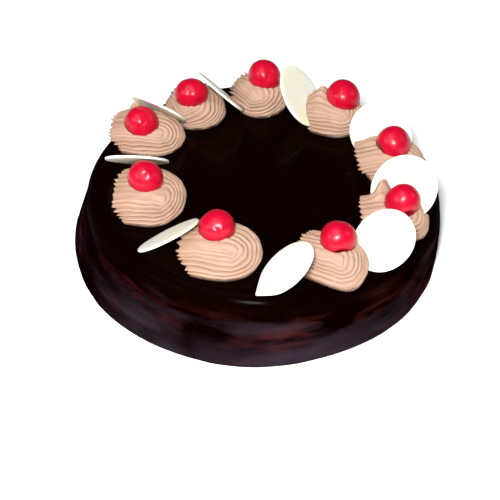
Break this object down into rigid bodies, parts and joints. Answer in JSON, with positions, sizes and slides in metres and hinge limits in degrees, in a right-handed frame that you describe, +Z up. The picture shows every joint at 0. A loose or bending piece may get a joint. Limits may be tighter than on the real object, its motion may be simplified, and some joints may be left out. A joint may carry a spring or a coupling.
{
  "type": "black forest cake",
  "caption": "Round cake under dark chocolate glaze, ringed on top with piped cream swirls, each holding a glace cherry, and with thin white chocolate discs leaning between them.",
  "frame": {"origin": "centre of the cake's round base, on the surface that it stands on", "axes": "+Z up through the cake; -Y towards the side that the picture shows; +X to its right"},
  "size_m": [0.208, 0.2091, 0.076],
  "materials": {
    "dark_glaze": "mirror-smooth dark chocolate glaze, stands in for food",
    "chocolate_cream": "soft matt piped cream, stands in for food",
    "cherry_skin": "wet shiny cherry skin, stands in for food",
    "white_chocolate": "satin white chocolate, stands in for food"
  },
  "bodies": {
    "root": {"cake": "dark_glaze", "swirl_1": "chocolate_cream", "swirl_2": "chocolate_cream", "swirl_3": "chocolate_cream", "swirl_4": "chocolate_cream", "swirl_5": "chocolate_cream", "swirl_6": "chocolate_cream", "swirl_7": "chocolate_cream", "swirl_8": "chocolate_cream", "swirl_9": "chocolate_cream", "cherry_1": "cherry_skin", "cherry_2": "cherry_skin", "cherry_3": "cherry_skin", "cherry_4": "cherry_skin", "cherry_5": "cherry_skin", "cherry_6": "cherry_skin", "cherry_7": "cherry_skin", "cherry_8": "cherry_skin", "cherry_9": "cherry_skin", "disc_1": "white_chocolate", "disc_2": "white_chocolate", "disc_3": "white_chocolate", "disc_4": "white_chocolate", "disc_5": "white_chocolate", "disc_6": "white_chocolate", "disc_7": "white_chocolate", "disc_8": "white_chocolate", "disc_9": "white_chocolate"}
  },
  "joints": []
}
